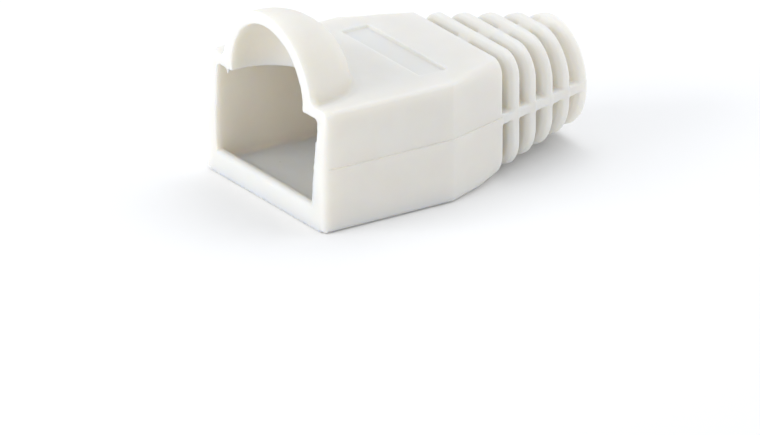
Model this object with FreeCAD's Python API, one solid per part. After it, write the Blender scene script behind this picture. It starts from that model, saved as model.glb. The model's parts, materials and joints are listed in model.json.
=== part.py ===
import FreeCAD, Part
import math
import os

V = FreeCAD.Vector

# the plug the boot slips over, and the cable it grips
plug_width = 11.68
plug_play = 0.12
cable_bore = 5.0

# shell walls
side_wall = 1.24
floor_wall = 0.92
top_wall = 0.75
clear_height = 6.9
wall_draft = 0.12

# body: a straight part, then a part that tapers to the tail
straight_length = 10.37
taper_length = 4.83
taper_inset = 1.43
top_round = 0.5
rear_top_round = 1.1
foot_round = 0.4
rear_foot_round = 1.9
swell_place = 0.55
swell_share = 0.3
parting_height = 4.5
parting_step = 0.07

# mouth
mouth_lean = 0.2
mouth_edge_round = 0.45
lip_height = 1.7
lip_depth = 0.72
lip_round = 0.3
cavity_depth = 10.57
cavity_round = 0.3
throat_depth = 3.6
throat_half_width = 4.4
throat_slope = 0.5

# latch guard over the mouth
hood_radius = 5.3
hood_length = 5.57
hood_lift = 0.15
hood_overhang = 0.16
hood_wall = 0.98
hood_room_lift = 0.32
hood_bulge = 0.865
hood_blend = 0.7

# tail: ribs on a neck, joined by four spines
slot_count = 5
rib_pitch = 1.6
slot_width = 0.8
collar_length = 0.9
collar_radius = 3.8
collar_height = 4.35
rib_chamfer = 0.3
neck_wall = 0.45
neck_root_half_width = 4.1
neck_root_half_height = 3.0
side_spine_low = 4.0
side_spine_height = 0.72
side_spine_inset = 0.05
top_spine_width = 1.4
top_spine_inset = 0.2

# shallow bare panel on the top
panel_length = 9.5
panel_width = 2.15
panel_start = 9.22
panel_depth = 0.22

# values that follow
inner_half_width = plug_width / 2 + plug_play
half_width = inner_half_width + side_wall
ceiling = floor_wall + clear_height
top = ceiling + top_wall
body_length = straight_length + taper_length
rear_half_width = half_width - taper_inset
tail_length = slot_count * slot_width + (slot_count - 1) * (rib_pitch - slot_width) + collar_length
total_length = body_length + tail_length
bore_radius = cable_bore / 2
neck_radius = bore_radius + neck_wall
margin = 2.0
far = 30.0


def corner(point, before, after, radius):
    """An arc that rounds the corner at point between its two neighbours."""
    back = (before - point).normalize()
    ahead = (after - point).normalize()
    half_angle = back.getAngle(ahead) / 2
    reach = radius / math.tan(half_angle)
    inward = (back + ahead).normalize()
    middle = point + inward * (radius / math.sin(half_angle) - radius)
    return Part.Arc(point + back * reach, middle, point + ahead * reach).toShape()


def section(y, low_half, high_half, bottom, peak, low_round, high_round):
    """A rounded four-sided outline standing across the boot at distance y."""
    limit = 0.495 * min(2 * low_half, 2 * high_half, peak - bottom)
    low = min(low_round, limit)
    high = min(high_round, limit)
    points = [V(low_half, y, bottom), V(high_half, y, peak), V(-high_half, y, peak), V(-low_half, y, bottom)]
    rounds = [low, high, high, low]
    corners = []
    for index, point in enumerate(points):
        corners.append(corner(point, points[index - 1], points[(index + 1) % 4], rounds[index]))
    edges = []
    for index, piece in enumerate(corners):
        following = corners[(index + 1) % 4]
        edges.append(piece)
        edges.append(Part.makeLine(piece.Vertexes[-1].Point, following.Vertexes[0].Point))
    return Part.Wire(edges)


def loft(*sections):
    return Part.makeLoft(list(sections), True, True)


def box(x0, x1, y0, y1, z0, z1):
    return Part.makeBox(x1 - x0, y1 - y0, z1 - z0, V(x0, y0, z0))


def front_edges(shape, y):
    return [edge for edge in shape.Edges if edge.BoundBox.YMax < y + 0.01]


def between(first, last, share):
    return first + share * (last - first)


def body_envelope(inset):
    """Along the taper the edges stay tight at first and swell towards the tail."""
    wide = half_width - inset
    slim = rear_half_width - inset
    swell = between(wide, slim, swell_place)
    foot = between(foot_round, rear_foot_round, swell_share)
    peak = between(top_round, rear_top_round, swell_share)
    front = Part.Face(section(0, wide, wide, 0, top, foot_round, top_round))
    straight = front.extrude(V(0, straight_length, 0))
    taper = loft(
        section(straight_length, wide, wide, 0, top, foot_round, top_round),
        section(straight_length + swell_place * taper_length, swell, swell, 0, top, foot, peak),
        section(body_length, slim, slim, 0, top, rear_foot_round, rear_top_round),
    )
    return straight.fuse(taper)


def body():
    """The two mould halves meet in a small step at the parting height."""
    lower = body_envelope(0).common(box(-far, far, -far, far, -far, parting_height))
    upper = body_envelope(parting_step).common(box(-far, far, -far, far, parting_height, far))
    return lower.fuse(upper)


def guard_solid(radius, axis, start, nose):
    """A round-nosed solid of revolution: a straight run, a bulging arc and a small flat."""
    arc_radius = hood_bulge * radius
    centre = V(radius - arc_radius, nose - arc_radius, axis)
    slant = V(math.cos(math.pi / 4), math.sin(math.pi / 4), 0)
    shoulder = centre + V(arc_radius, 0, 0)
    tip = centre + V(0, arc_radius, 0)
    edges = [
        Part.makeLine(V(0, start, axis), V(radius, start, axis)),
        Part.makeLine(V(radius, start, axis), shoulder),
        Part.Arc(shoulder, centre + slant * arc_radius, tip).toShape(),
        Part.makeLine(tip, V(0, nose, axis)),
        Part.makeLine(V(0, nose, axis), V(0, start, axis)),
    ]
    return Part.Face(Part.Wire(edges)).revolve(V(0, 0, axis), V(0, 1, 0), 360)


def hood():
    shape = guard_solid(hood_radius, ceiling + hood_lift, 0, hood_length)
    return shape.common(box(-far, far, 0, far, ceiling, far))


def blend_hood(shape):
    """Rounds the line where the guard meets the top of the body."""
    chosen = []
    for edge in shape.Edges:
        bound = edge.BoundBox
        level = abs(bound.ZMin - top) < 0.01 and abs(bound.ZMax - top) < 0.01
        inside = bound.YMax < hood_length + 0.1 and bound.XMax < hood_radius + 0.1
        if level and inside and bound.XMin > -hood_radius - 0.1 and bound.YLength > 0.3:
            chosen.append(edge)
    return shape.makeFillet(hood_blend, chosen)


def mouth_mask():
    """A block whose front edges are rounded, to soften the foot and sides of the mouth."""
    block = box(-half_width, half_width, 0, far, 0, far)
    outer = [edge for edge in front_edges(block, 0) if edge.BoundBox.ZMin < 0.01]
    return block.makeFillet(mouth_edge_round, outer)


def lip_profile():
    """Side view of the room inside the mouth, stepping over the rounded lip."""
    low = lip_height - lip_round
    slant = lip_round * math.sqrt(0.5)
    start = V(-far, 0, low)
    rise = V(-far, lip_round, lip_height)
    crest = V(-far, lip_depth - lip_round, lip_height)
    fall = V(-far, lip_depth, low)
    outer_middle = V(-far, lip_round - slant, low + slant)
    inner_middle = V(-far, lip_depth - lip_round + slant, low + slant)
    corners = [
        fall,
        V(-far, lip_depth, 0),
        V(-far, cavity_depth, 0),
        V(-far, cavity_depth, far),
        V(-far, -margin, far),
        V(-far, -margin, low),
        start,
    ]
    edges = [
        Part.Arc(start, outer_middle, rise).toShape(),
        Part.makeLine(rise, crest),
        Part.Arc(crest, inner_middle, fall).toShape(),
    ]
    for first, second in zip(corners, corners[1:]):
        edges.append(Part.makeLine(first, second))
    return Part.Face(Part.Wire(edges)).extrude(V(2 * far, 0, 0))


def cavity_section(y, half, slope):
    return section(y, half - wall_draft, half + wall_draft, floor_wall + slope, ceiling - slope,
                   cavity_round, cavity_round)


def hollows():
    room = loft(
        cavity_section(-margin, inner_half_width, 0),
        cavity_section(cavity_depth, inner_half_width, 0),
    )
    throat = loft(
        cavity_section(cavity_depth, inner_half_width, 0),
        cavity_section(cavity_depth + throat_depth, throat_half_width, throat_slope),
    )
    bore = Part.makeCylinder(bore_radius, far, V(0, cavity_depth, collar_height), V(0, 1, 0))
    guard_room = guard_solid(hood_radius - hood_wall, ceiling + hood_room_lift, -margin, hood_length - hood_wall)
    return [room.common(lip_profile()), throat, bore, guard_room]


def mouth_cut():
    """Above the parting height the mouth leans back, and the guard leans out over it."""
    crest = ceiling + hood_lift + hood_radius
    points = [
        V(-far, -margin, parting_height),
        V(-far, 0, parting_height),
        V(-far, mouth_lean, ceiling),
        V(-far, mouth_lean - hood_overhang, crest),
        V(-far, -margin, crest + margin),
        V(-far, -margin, parting_height),
    ]
    return Part.Face(Part.makePolygon(points)).extrude(V(2 * far, 0, 0))


def tail_section(y, inset):
    """The tail narrows evenly from the body's rear to a nearly round collar."""
    share = (y - body_length) / tail_length
    half = rear_half_width + share * (collar_radius - rear_half_width) - inset
    bottom = share * (collar_height - collar_radius) + inset
    peak = top + share * (collar_height + collar_radius - top) - inset
    low = rear_foot_round + share * (collar_radius - rear_foot_round)
    high = rear_top_round + share * (collar_radius - rear_top_round)
    return section(y, half, half, bottom, peak, low - inset, high - inset)


def rib(start, end):
    outline = tail_section(end, 0)
    outline.translate(V(0, start - end, 0))
    slab = Part.Face(outline).extrude(V(0, end - start, 0))
    return slab.makeChamfer(rib_chamfer, front_edges(slab, start))


def neck():
    low = collar_height - neck_root_half_height
    high = collar_height + neck_root_half_height
    root = section(body_length - 0.5, neck_root_half_width, neck_root_half_width, low, high, 2.2, 2.2)
    tip = section(total_length - 0.2, neck_radius, neck_radius, collar_height - neck_radius,
                  collar_height + neck_radius, neck_radius, neck_radius)
    return loft(root, tip)


def spine(inset, bar):
    return loft(tail_section(body_length - 0.3, inset), tail_section(total_length - 0.3, inset)).common(bar)


def tail():
    side_bar = box(-far, far, 0, far, side_spine_low, side_spine_low + side_spine_height)
    upright_bar = box(-top_spine_width / 2, top_spine_width / 2, 0, far, -far, far)
    pieces = [neck(), spine(side_spine_inset, side_bar), spine(top_spine_inset, upright_bar)]
    for index in range(slot_count):
        start = body_length + index * rib_pitch + slot_width
        end = start + rib_pitch - slot_width
        if index == slot_count - 1:
            end = total_length
        pieces.append(rib(start, end))
    return pieces


def panel():
    return box(-panel_length / 2, panel_length / 2, panel_start, panel_start + panel_width,
               top - panel_depth, far)


def boot():
    shape = blend_hood(body().fuse(hood()))
    shape = shape.common(mouth_mask()).cut(mouth_cut())
    shape = shape.fuse(tail())
    shape = shape.cut([panel()] + hollows())
    shape = shape.removeSplitter()
    shape.translate(V(0, -total_length / 2, 0))
    return shape


os.makedirs("parts", exist_ok=True)
result = boot()
result = result.Solids[0] if len(result.Solids) == 1 else result
result.exportStep("parts/boot.step")
print("solids", len(result.Solids), "valid", result.isValid(), "volume", round(result.Volume, 1))
print("box", result.BoundBox)
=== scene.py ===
import json
import math

import bpy
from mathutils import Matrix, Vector

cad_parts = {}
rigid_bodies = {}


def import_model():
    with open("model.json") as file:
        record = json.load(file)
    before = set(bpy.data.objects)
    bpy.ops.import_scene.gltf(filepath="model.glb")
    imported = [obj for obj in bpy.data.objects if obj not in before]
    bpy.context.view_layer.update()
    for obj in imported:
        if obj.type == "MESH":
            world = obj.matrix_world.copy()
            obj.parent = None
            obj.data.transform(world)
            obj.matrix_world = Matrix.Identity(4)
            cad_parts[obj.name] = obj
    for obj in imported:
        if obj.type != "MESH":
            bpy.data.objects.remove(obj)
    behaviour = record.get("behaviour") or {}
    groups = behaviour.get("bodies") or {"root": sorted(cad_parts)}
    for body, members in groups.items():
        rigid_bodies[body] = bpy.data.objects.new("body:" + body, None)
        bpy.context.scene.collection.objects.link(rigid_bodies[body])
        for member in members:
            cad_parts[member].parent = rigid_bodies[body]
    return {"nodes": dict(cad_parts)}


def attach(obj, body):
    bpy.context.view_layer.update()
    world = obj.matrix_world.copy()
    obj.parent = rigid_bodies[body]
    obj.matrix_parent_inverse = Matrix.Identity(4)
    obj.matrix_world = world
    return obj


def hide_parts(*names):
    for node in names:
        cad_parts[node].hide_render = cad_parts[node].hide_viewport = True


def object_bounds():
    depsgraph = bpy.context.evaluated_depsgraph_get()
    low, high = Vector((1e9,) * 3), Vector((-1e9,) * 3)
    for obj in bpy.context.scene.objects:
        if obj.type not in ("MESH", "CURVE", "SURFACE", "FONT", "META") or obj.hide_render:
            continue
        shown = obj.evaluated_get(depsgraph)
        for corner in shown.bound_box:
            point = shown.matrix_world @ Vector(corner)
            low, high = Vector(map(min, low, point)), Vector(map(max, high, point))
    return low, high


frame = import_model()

cadBox = [list(corner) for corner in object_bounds()]
low, high = Vector(cadBox[0]), Vector(cadBox[1])
middle = (low + high) / 2
width, length = (high - low).xy
print("frame loaded, the boot is %.2f mm long" % (length * 1000))


# ---- small helpers

def pickNothing():
    if bpy.context.object and bpy.context.object.mode != "OBJECT":
        bpy.ops.object.mode_set(mode="OBJECT")
    bpy.ops.object.select_all(action="DESELECT")


def pickOnly(piece):
    pickNothing()
    piece.select_set(True)
    bpy.context.view_layer.objects.active = piece


def applyModifier(piece, kind, **values):
    pickOnly(piece)
    modifier = piece.modifiers.new(kind.title(), kind)
    for name, value in values.items():
        setattr(modifier, name, value)
    bpy.ops.object.modifier_apply(modifier=modifier.name)


def applyPlace(piece):
    pickOnly(piece)
    bpy.ops.object.transform_apply(location=True, rotation=True, scale=True)


def makeBlock(name, place, size):
    pickNothing()
    bpy.ops.mesh.primitive_cube_add(size=1, location=place)
    block = bpy.context.object
    block.name = name
    block.scale = size
    applyPlace(block)
    return block


def pickVertices(piece, wanted):
    # leaves the piece in edit mode with the vertices that wanted(place) names
    pickOnly(piece)
    bpy.ops.object.mode_set(mode="EDIT")
    bpy.ops.mesh.select_mode(type="VERT")
    bpy.ops.mesh.select_all(action="DESELECT")
    bpy.ops.object.mode_set(mode="OBJECT")
    for vertex in piece.data.vertices:
        if wanted(vertex.co):
            vertex.select = True
    bpy.ops.object.mode_set(mode="EDIT")


def cutAcross(piece, place, direction):
    # adds edges where the plane meets the piece, and takes nothing away
    pickOnly(piece)
    bpy.ops.object.mode_set(mode="EDIT")
    bpy.ops.mesh.select_all(action="SELECT")
    bpy.ops.mesh.bisect(plane_co=place, plane_no=direction)
    bpy.ops.object.mode_set(mode="OBJECT")


def applyWeighted(piece, kind, shareAt, **values):
    # the modifier acts on each vertex by the share, 0 to 1, that shareAt(place) gives it
    levels = {}
    for vertex in piece.data.vertices:
        level = round(10 * shareAt(vertex.co))
        if level > 0:
            levels.setdefault(level, []).append(vertex.index)
    group = piece.vertex_groups.new(name="share")
    for level, vertices in levels.items():
        group.add(vertices, level / 10, "REPLACE")
    applyModifier(piece, kind, vertex_group="share", **values)
    piece.vertex_groups.clear()


def ramp(value, start, end):
    # 0 up to start, 1 from end on
    return min(1.0, max(0.0, (value - start) / (end - start)))


# ---- the boot: a merged copy of the solid, softened as moulded vinyl is
# It is worked on in millimetres, a thousand times up, and brought back at the end.
# In the dictionaries below, a pair of values is where a ramp starts and where it ends.

bootShape = {
    "workScale": 1000,
    "mergeReach": 0.0005,
    "remeshSize": 0.065,
    "softenTurns": 3,
    "softenFactor": 0.5,    # used wherever the boot is smoothed
    "straight": 10.37,      # length of the straight part
    "narrowing": 0.296,     # how fast the sides close in behind it
    "body": 15.2,           # where the ribbed tail starts
    "ribPitch": 1.6,
    "trianglesKept": 190000,
}

mouthAt = low.y * bootShape["workScale"]
waistAt = mouthAt + bootShape["straight"]
tailAt = mouthAt + bootShape["body"]
halfWidth = width / 2 * bootShape["workScale"]


def smoothWeighted(piece, shareAt, turns):
    applyWeighted(piece, "SMOOTH", shareAt, factor=bootShape["softenFactor"], iterations=turns)


def copyForWork(node):
    pickOnly(node)
    bpy.ops.object.duplicate()
    boot = bpy.context.object
    boot.name = "bootShell"
    boot.data.name = "bootShell"
    pickOnly(boot)
    if boot.parent:
        bpy.ops.object.parent_clear(type="CLEAR_KEEP_TRANSFORM")
    boot.scale = [value * bootShape["workScale"] for value in boot.scale]
    applyPlace(boot)
    bpy.ops.object.mode_set(mode="EDIT")
    bpy.ops.mesh.select_all(action="SELECT")
    bpy.ops.mesh.remove_doubles(threshold=bootShape["mergeReach"])
    bpy.ops.object.mode_set(mode="OBJECT")
    return boot


# flash: thin slips of vinyl that crept out between the mould halves
# Each place is across, back from the mouth, and up.
flashShape = {
    "leftTooth": {"place": (-4.86, 0.32, 7.74), "size": (0.34, 0.30, 0.62), "tip": (0.12, 0.5, 1)},
    "rightTooth": {"place": (4.30, 0.36, 7.95), "size": (0.26, 0.26, 0.50), "tip": (0.45, 0.5, 1)},
    "toothRound": 0.03,
    "rimSlip": {
        "place": (5.78, 0.12, 3.95),
        "size": (0.36, 0.22, 4.6),
        "topScale": (0.3, 0.4, 1),
        "topShift": (0.12, 0.09, 0),
        "cuts": 24,
        "ragged": 0.08,
        "raggedReach": 0.11,    # how far past its middle the ragged face counts
        "seed": 4,
    },
}


def makeTooth(name):
    # a little block drawn to a blunt tip at its lower end
    values = flashShape[name]
    x, y, z = values["place"]
    centre = (x, mouthAt + y, z)
    tooth = makeBlock(name, centre, values["size"])
    pickVertices(tooth, lambda place: place.z < z)
    bpy.ops.transform.resize(value=values["tip"], center_override=centre)
    bpy.ops.object.mode_set(mode="OBJECT")
    applyModifier(tooth, "BEVEL", width=flashShape["toothRound"], segments=2)
    return tooth


def makeRimSlip(name):
    # a narrow strip up the inner edge of the mouth, its face left ragged
    values = flashShape[name]
    x, y, z = values["place"]
    tall = values["size"][2]
    centre = (x, mouthAt + y, z)
    slip = makeBlock(name, centre, values["size"])
    pickVertices(slip, lambda place: place.z > z)
    bpy.ops.transform.resize(value=values["topScale"], center_override=centre)
    bpy.ops.transform.translate(value=values["topShift"])
    bpy.ops.object.mode_set(mode="OBJECT")
    step = tall / values["cuts"]
    for turn in range(1, values["cuts"]):
        cutAcross(slip, (x, 0, z - tall / 2 + turn * step), (0, 0, 1))
    pickVertices(slip, lambda place: place.x < x + values["raggedReach"])
    bpy.ops.transform.vertex_random(offset=values["ragged"], seed=values["seed"])
    bpy.ops.object.mode_set(mode="OBJECT")
    return slip


# bars that fill the solid's wider roundings out to the tight ones of the mould
fillShape = {
    "near": 0.1,            # how close to a face a vertex counts as on it
    "footSize": (13.3, 0.7, 0.6),
    "footBelow": 0.7,       # the mouth's foot is looked for below this height
    "footRound": 0.15,
    "edgeHalf": 7.13,       # from the middle of the boot to the bar's outer face
    "edgeTop": 8.57,
    "edgeSize": 0.9,
    "edgeOuter": 0.9,       # share of the bar's width searched for its outer edge
    "edgeStart": 0.8,
    "edgeEnd": 13.2,
    "edgeSink": 0.14,       # how far its rear end sinks into the body
    "edgeRound": 0.27,
}


def makeFootBar(front):
    near = fillShape["near"]
    deep, tall = fillShape["footSize"][1:]
    bar = makeBlock("footBar", (0, front + deep / 2, tall / 2), fillShape["footSize"])
    pickVertices(bar, lambda place: place.y < front + near and place.z < near)
    bpy.ops.mesh.bevel(offset=fillShape["footRound"], segments=4, affect="EDGES")
    bpy.ops.object.mode_set(mode="OBJECT")
    return bar


def makeEdgeBar(side):
    # along the top edge of one side, sinking into the body behind the waist
    half, top, size = fillShape["edgeHalf"], fillShape["edgeTop"], fillShape["edgeSize"]
    start, end = mouthAt + fillShape["edgeStart"], mouthAt + fillShape["edgeEnd"]
    narrowing, sink = bootShape["narrowing"], fillShape["edgeSink"]
    centre = (side * (half - size / 2), (start + end) / 2, top - size / 2)
    bar = makeBlock("edgeBar", centre, (size, end - start, size))
    cutAcross(bar, (0, waistAt, 0), (0, 1, 0))
    pickVertices(bar, lambda place: place.y > waistAt + fillShape["near"])
    bpy.ops.transform.translate(value=(-side * (narrowing * (end - waistAt) + sink), 0, -sink))

    def onTopEdge(place):
        inner = half - size * fillShape["edgeOuter"] - narrowing * max(0, place.y - waistAt)
        return abs(place.x) > inner and place.z > top - size / 2

    pickVertices(bar, onTopEdge)
    bpy.ops.mesh.bevel(offset=fillShape["edgeRound"], segments=5, affect="EDGES")
    bpy.ops.object.mode_set(mode="OBJECT")
    return bar


def joinBarsAndFlash(boot):
    foot = [vertex.co.y for vertex in boot.data.vertices if vertex.co.z < fillShape["footBelow"]]
    pieces = [
        makeFootBar(min(foot)),
        makeEdgeBar(1),
        makeEdgeBar(-1),
        makeTooth("leftTooth"),
        makeTooth("rightTooth"),
        makeRimSlip("rimSlip"),
    ]
    pickOnly(boot)
    for piece in pieces:
        piece.select_set(True)
    bpy.ops.object.join()


def softenShell(boot):
    applyModifier(boot, "REMESH", mode="VOXEL", voxel_size=bootShape["remeshSize"], adaptivity=0)
    applyModifier(boot, "SMOOTH", factor=bootShape["softenFactor"], iterations=bootShape["softenTurns"])
    print("boot softened, %d faces" % len(boot.data.polygons))


# edges that are rounder than the solid's, in the order of work
edgeShape = {
    "ribs": {"turns": 1, "start": (0.05, 0.2)},
    "ribFronts": {"turns": 26, "start": (0.5, 0.6), "beside": (0.15, 0.4)},
    "frontEdges": {
        "turns": 110,
        "inward": (0.6, 1.05),
        "back": (1.1, 1.9),
        "foot": (0.5, 1.0),
        "top": (8.0, 8.4),
    },
    "rimTop": {
        "turns": 30,
        "middle": 6.0,
        "beside": (0.25, 0.5),
        "inner": 5.6,       # nothing is softened inward of this
        "back": 0.9,        # or further back than this
        "foot": (4.9, 5.8),
        "top": (6.7, 7.2),
    },
}


def roundEdges(boot):
    pitch = bootShape["ribPitch"]
    ribs, ribFronts = edgeShape["ribs"], edgeShape["ribFronts"]
    frontEdges, rimTop = edgeShape["frontEdges"], edgeShape["rimTop"]

    def onRibs(place):
        return ramp(place.y - tailAt, *ribs["start"])

    def onRibFronts(place):
        # each rib's front edge is worn round, its rear edge stays tight
        along = (place.y - tailAt - pitch / 2) % pitch
        near = 1 - ramp(min(along, pitch - along), *ribFronts["beside"])
        return near * ramp(place.y - tailAt, *ribFronts["start"])

    def onFrontEdges(place):
        inward, back = halfWidth - abs(place.x), place.y - mouthAt
        if inward > frontEdges["inward"][1] or back > frontEdges["back"][1]:
            return 0
        share = (1 - ramp(inward, *frontEdges["inward"])) * (1 - ramp(back, *frontEdges["back"]))
        return share * ramp(place.z, *frontEdges["foot"]) * (1 - ramp(place.z, *frontEdges["top"]))

    def onRimTop(place):
        if place.x <= rimTop["inner"] or place.y - mouthAt > rimTop["back"]:
            return 0
        share = 1 - ramp(abs(place.x - rimTop["middle"]), *rimTop["beside"])
        return share * ramp(place.z, *rimTop["foot"]) * (1 - ramp(place.z, *rimTop["top"]))

    smoothWeighted(boot, onRibs, ribs["turns"])
    smoothWeighted(boot, onRibFronts, ribFronts["turns"])
    smoothWeighted(boot, onFrontEdges, frontEdges["turns"])
    smoothWeighted(boot, onRimTop, rimTop["turns"])


# the guard meets the body in a tighter rounding than the solid's
guardShape = {
    "radius": 5.3,
    "axis": 7.97,
    "bulge": 4.585,
    "nose": 5.57,
    "top": 8.57,
    "solidRound": 0.7,
    "press": 0.20,
    "skin": 0.02,           # how far under a surface still counts as on it
    "least": 0.01,          # keeps the division safe where the rounding ends
    "mouthEnd": (0.5, 0.9),
    "softenTurns": 3,
}


def tightenGuardFoot(boot):
    bulge, wideRound, skin = guardShape["bulge"], guardShape["solidRound"], guardShape["skin"]
    centreOut, centreBack = guardShape["radius"] - bulge, guardShape["nose"] - bulge

    def inRounding(place):
        # how far the solid's rounding stands off the corner of guard and body here
        above = place.z - guardShape["top"]
        if not -skin < above < wideRound:
            return 0
        out = math.hypot(place.x, place.z - guardShape["axis"])
        back = place.y - mouthAt
        if back > centreBack:
            beyond = math.hypot(out - centreOut, back - centreBack) - bulge
        else:
            beyond = out - guardShape["radius"]
        if not -skin < beyond < wideRound:
            return 0
        across, up = wideRound - beyond, wideRound - above
        gap = wideRound * (math.hypot(across, up) / max(across, up, guardShape["least"]) - 1)
        return min(1.0, gap / guardShape["press"]) * ramp(back, *guardShape["mouthEnd"])

    applyWeighted(boot, "DISPLACE", inRounding, strength=-guardShape["press"], mid_level=0)
    smoothWeighted(boot, lambda place: min(1, 2 * inRounding(place)), guardShape["softenTurns"])


# the top spine lies low between the ribs
spineShape = {
    "half": 1.0,
    "lowest": 7.3,
    "sink": 0.22,
    "slots": 5,
    "slotWidth": 0.8,
    "skin": 0.02,           # the slot's walls, which stay where they are
    "softenTurns": 3,
}


def sinkTopSpine(boot):
    pitch, skin = bootShape["ribPitch"], spineShape["skin"]

    def onSpine(place):
        inSlot = skin < (place.y - tailAt) % pitch < spineShape["slotWidth"] - skin
        inTail = tailAt < place.y < tailAt + spineShape["slots"] * pitch
        return inSlot and inTail and abs(place.x) < spineShape["half"] and place.z > spineShape["lowest"]

    pickVertices(boot, onSpine)
    bpy.ops.transform.translate(value=(0, 0, -spineShape["sink"]))
    bpy.ops.mesh.select_more()
    bpy.ops.mesh.vertices_smooth(factor=bootShape["softenFactor"], repeat=spineShape["softenTurns"])
    bpy.ops.object.mode_set(mode="OBJECT")


partingLine = {
    "height": 4.545,
    "reach": 0.075,         # half the groove's width
    "depth": 0.06,
    "rear": 15.15,          # behind this the spine carries it
    "wall": 0.4,            # how deep under the side a vertex counts as on it
    "even": (0.12, 0.25),
    "evenTurns": 12,
    "frontEnd": (0.25, 0.6),
}


def drawPartingLine(boot):
    level, reach = partingLine["height"], partingLine["reach"]
    rear = mouthAt + partingLine["rear"]

    def onSide(place):
        taper = bootShape["narrowing"] * max(0.0, place.y - waistAt)
        return abs(place.x) > halfWidth - partingLine["wall"] - taper and place.y < rear

    # the remesh left the mould's step uneven, so it is evened first
    def nearStep(place):
        return 1 - ramp(abs(place.z - level), *partingLine["even"]) if onSide(place) else 0

    smoothWeighted(boot, nearStep, partingLine["evenTurns"])
    for height in (level - reach, level, level + reach):
        cutAcross(boot, (0, 0, height), (0, 0, 1))

    def inGroove(place):
        share = 1 - ramp(abs(place.z - level), 0, reach)
        return share * ramp(place.y - mouthAt, *partingLine["frontEnd"]) if onSide(place) else 0

    applyWeighted(boot, "DISPLACE", inGroove, strength=-partingLine["depth"], mid_level=0)


def finishShell(boot):
    # nearly all faces are four-sided here, so each counts as two triangles
    kept = bootShape["trianglesKept"] / (2 * len(boot.data.polygons))
    applyModifier(boot, "DECIMATE", decimate_type="COLLAPSE", ratio=min(1.0, kept))
    pickOnly(boot)
    boot.scale = [1 / bootShape["workScale"]] * 3
    applyPlace(boot)
    bpy.ops.object.shade_smooth()


boot = copyForWork(frame["nodes"]["boot"])
joinBarsAndFlash(boot)
softenShell(boot)
tightenGuardFoot(boot)
sinkTopSpine(boot)
roundEdges(boot)
drawPartingLine(boot)
finishShell(boot)
print("boot shaped, %d faces" % len(boot.data.polygons))


# ---- vinyl

vinylLook = {
    "paler": (0.775, 0.757, 0.717, 1),
    "deeper": (0.76, 0.74, 0.697, 1),
    "cloudSize": 420,           # these sizes count up as the pattern gets finer
    "cloudEdge": (0.35, 0.65),
    "speck": (0.60, 0.565, 0.50, 1),
    "speckMix": (0.6, 0.6, 0.6, 1),
    "speckSize": 330,
    "speckEdge": (0.018, 0.034),
    "smoothest": 0.44,
    "roughest": 0.56,
    "patchSize": 900,
    "refraction": 1.46,
    "gloss": 0.4,
    "glowDepth": 0.0019,        # how far light spreads under the skin, in metres
    "glowTint": (1.0, 0.85, 0.62),
    "grainSize": 14000,
    "grainBump": (0.35, 0.000008),      # strength, and height in metres
    "waveSize": 260,
    "waveBump": (0.5, 0.00003),
}


def joinNodes(tree, *pairs):
    for start, end in pairs:
        tree.links.new(start, end)


def addNoise(tree, place, scale, detail):
    noise = tree.nodes.new("ShaderNodeTexNoise")
    noise.inputs["Scale"].default_value = scale
    noise.inputs["Detail"].default_value = detail
    tree.links.new(place, noise.inputs["Vector"])
    return noise


def addColourRamp(tree, value, edge, first, last):
    colours = tree.nodes.new("ShaderNodeValToRGB")
    for stop, position, colour in zip(colours.color_ramp.elements, edge, (first, last)):
        stop.position = position
        stop.color = colour
    tree.links.new(value, colours.inputs["Fac"])
    return colours


def addBump(tree, height, bumpLook):
    bump = tree.nodes.new("ShaderNodeBump")
    bump.inputs["Strength"].default_value, bump.inputs["Distance"].default_value = bumpLook
    tree.links.new(height, bump.inputs["Height"])
    return bump


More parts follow.
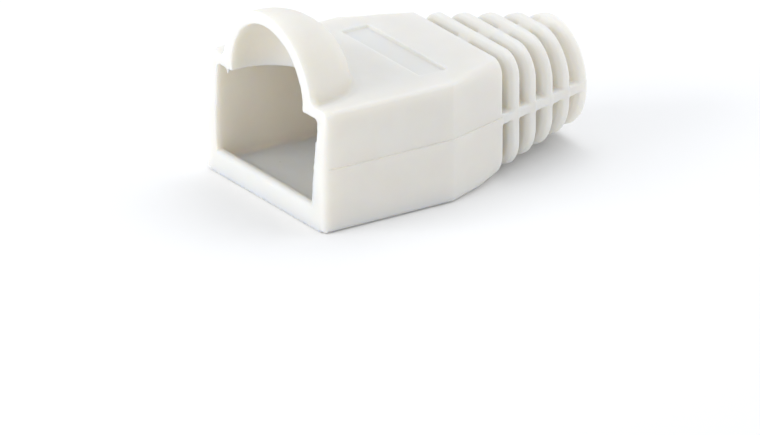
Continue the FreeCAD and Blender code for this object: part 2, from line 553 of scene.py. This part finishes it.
def makeVinyl():
    material = bpy.data.materials.new("whiteVinyl")
    material.use_nodes = True
    tree = material.node_tree
    shader = tree.nodes["Principled BSDF"]
    shader.inputs["IOR"].default_value = vinylLook["refraction"]
    shader.inputs["Specular IOR Level"].default_value = vinylLook["gloss"]
    shader.inputs["Subsurface Weight"].default_value = 1.0
    shader.inputs["Subsurface Scale"].default_value = vinylLook["glowDepth"]
    shader.inputs["Subsurface Radius"].default_value = vinylLook["glowTint"]
    place = tree.nodes.new("ShaderNodeTexCoord").outputs["Object"]

    # colour: a faint cloudiness, with a few specks of grime
    cloud = addNoise(tree, place, vinylLook["cloudSize"], detail=3)
    tint = addColourRamp(tree, cloud.outputs["Fac"], vinylLook["cloudEdge"],
                         vinylLook["deeper"], vinylLook["paler"])
    specks = tree.nodes.new("ShaderNodeTexVoronoi")
    specks.inputs["Scale"].default_value = vinylLook["speckSize"]
    specks.inputs["Randomness"].default_value = 1
    speckMask = addColourRamp(tree, specks.outputs["Distance"], vinylLook["speckEdge"],
                              vinylLook["speckMix"], (0, 0, 0, 1))
    mix = tree.nodes.new("ShaderNodeMixRGB")
    mix.inputs["Color2"].default_value = vinylLook["speck"]
    joinNodes(
        tree,
        (place, specks.inputs["Vector"]),
        (speckMask.outputs["Color"], mix.inputs["Fac"]),
        (tint.outputs["Color"], mix.inputs["Color1"]),
        (mix.outputs["Color"], shader.inputs["Base Color"]),
    )

    # sheen: the mould's spark-eroded face makes it uneven
    patch = addNoise(tree, place, vinylLook["patchSize"], detail=2)
    sheen = tree.nodes.new("ShaderNodeMapRange")
    sheen.inputs["To Min"].default_value = vinylLook["smoothest"]
    sheen.inputs["To Max"].default_value = vinylLook["roughest"]
    joinNodes(
        tree,
        (patch.outputs["Fac"], sheen.inputs["Value"]),
        (sheen.outputs["Result"], shader.inputs["Roughness"]),
    )

    # relief: a fine grain over a slow waviness
    grain = addNoise(tree, place, vinylLook["grainSize"], detail=2)
    wave = addNoise(tree, place, vinylLook["waveSize"], detail=1)
    grainBump = addBump(tree, grain.outputs["Fac"], vinylLook["grainBump"])
    waveBump = addBump(tree, wave.outputs["Fac"], vinylLook["waveBump"])
    joinNodes(
        tree,
        (waveBump.outputs["Normal"], grainBump.inputs["Normal"]),
        (grainBump.outputs["Normal"], shader.inputs["Normal"]),
    )
    return material


boot.data.materials.clear()
boot.data.materials.append(makeVinyl())
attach(boot, "root")
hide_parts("boot")
print("vinyl on")


# ---- floor, light and camera

floorLook = {
    "size": 60,             # boot lengths
    "drop": 0.00001,        # keeps the card just clear of the underside
    "colour": (0.97, 0.965, 0.955, 1),
    "roughness": 0.9,
    "gloss": 0.1,
}


def makeFloor():
    pickNothing()
    bpy.ops.mesh.primitive_plane_add(
        size=floorLook["size"] * length,
        location=(middle.x, middle.y, low.z - floorLook["drop"]),
    )
    floor = bpy.context.object
    floor.name = "floor"
    material = bpy.data.materials.new("paleCard")
    material.use_nodes = True
    shader = material.node_tree.nodes["Principled BSDF"]
    shader.inputs["Base Color"].default_value = floorLook["colour"]
    shader.inputs["Roughness"].default_value = floorLook["roughness"]
    shader.inputs["Specular IOR Level"].default_value = floorLook["gloss"]
    floor.data.materials.append(material)


studioLight = {
    "tint": (0.965, 0.985, 1.02),
    "sky": 0.66,
    # name, direction from the boot, distance and size in boot lengths, watts
    "lamps": [
        ("leftSoftbox", (-0.15, -0.94, 0.33), 9.0, 6.0, 0.23),
        ("rightSoftbox", (0.50, 0.83, 0.55), 9.0, 7.0, 0.07),
        ("topSoftbox", (-0.35, 0.40, 1.00), 9.0, 9.0, 0.155),
    ],
}


def makeLight():
    world = bpy.data.worlds.new("softRoom")
    bpy.context.scene.world = world
    world.use_nodes = True
    sky = world.node_tree.nodes["Background"]
    sky.inputs["Color"].default_value = (*studioLight["tint"], 1)
    sky.inputs["Strength"].default_value = studioLight["sky"]
    for name, direction, distance, size, watts in studioLight["lamps"]:
        toward = Vector(direction).normalized()
        bpy.ops.object.light_add(type="AREA", location=middle + toward * distance * length)
        lamp = bpy.context.object
        lamp.name = name
        lamp.data.size = size * length
        lamp.data.energy = watts
        lamp.data.color = studioLight["tint"]
        lamp.rotation_euler = toward.to_track_quat("Z", "Y").to_euler()


cameraPlace = {
    "azimuth": 56.46,
    "elevation": 22.47,
    "distance": 56.18,      # boot lengths
    "lens": 933.5,
    "aim": (0.19678, -0.23536, -0.32751),   # boot lengths from the middle of the boot
    "clip": (0.01, 10),     # metres
}


def makeCamera():
    turn, rise = math.radians(cameraPlace["azimuth"]), math.radians(cameraPlace["elevation"])
    back = Vector((math.sin(turn) * math.cos(rise), -math.cos(turn) * math.cos(rise), math.sin(rise)))
    aim = middle + Vector(cameraPlace["aim"]) * length
    bpy.ops.object.camera_add(location=aim + back * cameraPlace["distance"] * length)
    camera = bpy.context.object
    camera.name = "productCamera"
    camera.rotation_euler = (math.pi / 2 - rise, 0, turn)
    camera.data.lens = cameraPlace["lens"]
    camera.data.clip_start, camera.data.clip_end = cameraPlace["clip"]
    bpy.context.scene.camera = camera


makeFloor()
makeLight()
makeCamera()
bpy.context.scene.view_settings.view_transform = "Standard"
print("stage set")
